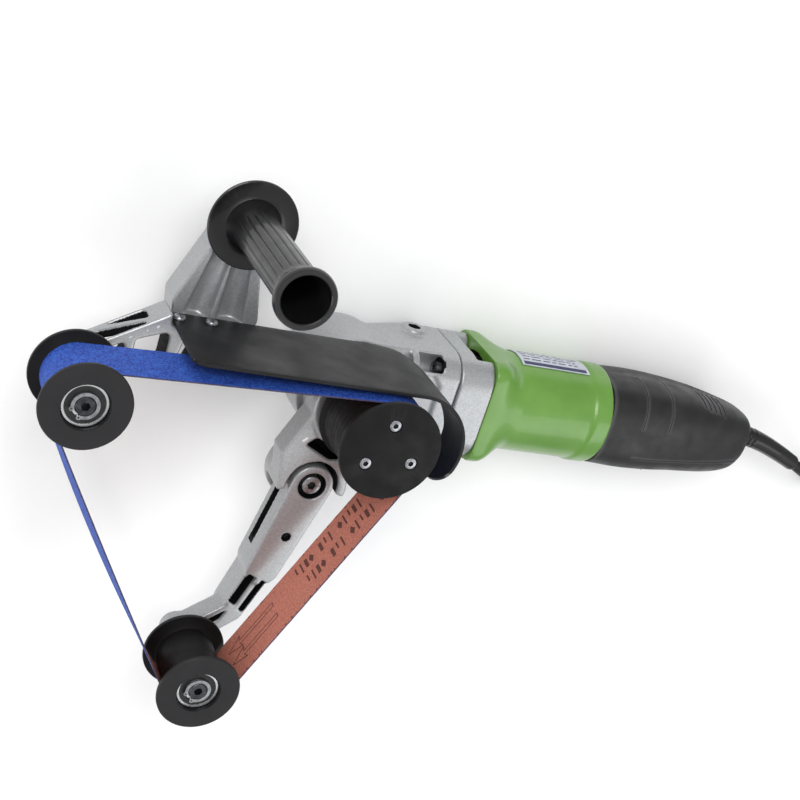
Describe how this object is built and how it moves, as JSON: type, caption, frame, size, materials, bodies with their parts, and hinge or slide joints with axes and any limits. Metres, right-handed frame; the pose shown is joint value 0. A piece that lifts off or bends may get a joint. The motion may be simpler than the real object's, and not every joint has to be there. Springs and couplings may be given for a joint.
{
  "type": "handheld belt sander",
  "caption": "Pipe-polishing belt sander: grinder-style motor, drive roller, two idlers on a cast arm and a sprung swing arm, abrasive belt, side handle, guard and cord",
  "frame": {"origin": "where the spindle's axis meets the flat back of the gear housing, on the plane that the tool lies on", "axes": "+X along the motor to the cord, +Z along the spindle to the rollers' front ends, +Y to the side handle and guard"},
  "size_m": [0.8115, 0.3485, 0.193],
  "materials": {
    "cast_aluminium": "sand-cast, bead-blasted",
    "green_plastic": "semi-gloss moulded nylon",
    "black_plastic": "fine-textured moulding",
    "handle_rubber": "satin moulding",
    "nameplate_foil": null,
    "guard_enamel": "matt black enamel",
    "abrasive_cloth": "blue grit outside, terracotta cloth inside",
    "roller_black": "turned, matt",
    "cord_rubber": "matt",
    "copper": "turned copper",
    "bronze": "sintered bronze",
    "lamination_iron": "varnished laminations",
    "carbon": "pressed carbon",
    "steel": "ground or zinc plated"
  },
  "bodies": {
    "sander_body": {"gear_housing": "cast_aluminium", "bearing_plate": "cast_aluminium", "housing_screw_1": "steel", "housing_screw_2": "steel", "housing_screw_3": "steel", "housing_screw_4": "steel", "spindle_flange": "cast_aluminium", "spindle_bush": "bronze", "spindle_bearing": "steel", "motor_housing": "green_plastic", "nameplate": "nameplate_foil", "front_motor_bearing": "steel", "rear_motor_bearing": "steel", "stator": "lamination_iron", "carbon_brush_1": "carbon", "carbon_brush_2": "carbon", "tail_shell_front": "black_plastic", "tail_shell_back": "black_plastic", "tail_screw_1": "steel", "tail_screw_2": "steel", "switch_body": "black_plastic", "upper_idler_axle": "steel", "upper_idler_circlip": "steel", "arm_frame": "cast_aluminium", "clamp_bolt": "steel", "belt_guard": "guard_enamel", "guard_screw_1": "steel", "guard_screw_2": "steel", "side_handle": "handle_rubber", "pivot_bush": "bronze", "pivot_bolt": "steel", "tension_spring": "steel", "abrasive_belt": "abrasive_cloth", "strain_relief": "black_plastic", "power_cord": "cord_rubber", "cord_coil": "cord_rubber", "plug_body": "cord_rubber", "plug_pin_1": "steel", "plug_pin_2": "steel"},
    "rotor": {"pinion": "steel", "armature": "lamination_iron", "commutator": "copper", "cooling_fan": "black_plastic"},
    "drive": {"spindle": "steel", "crown_gear": "steel", "drive_roller": "roller_black", "drive_disc": "roller_black", "disc_screw_1": "steel", "disc_screw_2": "steel", "disc_screw_3": "steel"},
    "upper_idler": {"upper_idler_roller": "roller_black", "upper_idler_bearing_back": "steel", "upper_idler_bearing_front": "steel"},
    "tension_arm": {"swing_arm": "cast_aluminium", "lower_idler_axle": "steel", "lower_idler_circlip": "steel"},
    "lower_idler": {"lower_idler_roller": "roller_black", "lower_idler_bearing_back": "steel", "lower_idler_bearing_front": "steel"},
    "switch_slider": {"slide_switch": "black_plastic"}
  },
  "joints": [
    {"name": "armature_spin", "type": "hinge", "parent": "sander_body", "child": "rotor", "pos_m": [0.1, 0, 0.038], "axis": [1, 0, 0], "continuous": true},
    {"name": "spindle_spin", "type": "hinge", "parent": "sander_body", "child": "drive", "pos_m": [0, 0, 0.05], "axis": [0, 0, 1], "continuous": true},
    {"name": "upper_idler_spin", "type": "hinge", "parent": "sander_body", "child": "upper_idler", "pos_m": [-0.193, 0.003, 0.125], "axis": [0, 0, 1], "continuous": true},
    {"name": "arm_swing", "type": "hinge", "parent": "sander_body", "child": "tension_arm", "pos_m": [-0.018, -0.06, 0.08], "axis": [0, 0, 1], "range_deg": [-11, 0], "stiffness_Nm_per_rad": 1.5, "springref_deg": 28.65, "deforming": ["abrasive_belt", "tension_spring"]},
    {"name": "lower_idler_spin", "type": "hinge", "parent": "tension_arm", "child": "lower_idler", "pos_m": [-0.077, -0.188, 0.125], "axis": [0, 0, 1], "continuous": true},
    {"name": "switch_slide", "type": "slide", "parent": "sander_body", "child": "switch_slider", "axis": [-1, 0, 0], "range_m": [0, 0.008]}
  ],
  "couplings": [
    {"joint": "spindle_spin", "follows": "armature_spin", "ratio": -0.25},
    {"joint": "upper_idler_spin", "follows": "armature_spin", "ratio": -0.3846},
    {"joint": "lower_idler_spin", "follows": "armature_spin", "ratio": -0.3846}
  ]
}
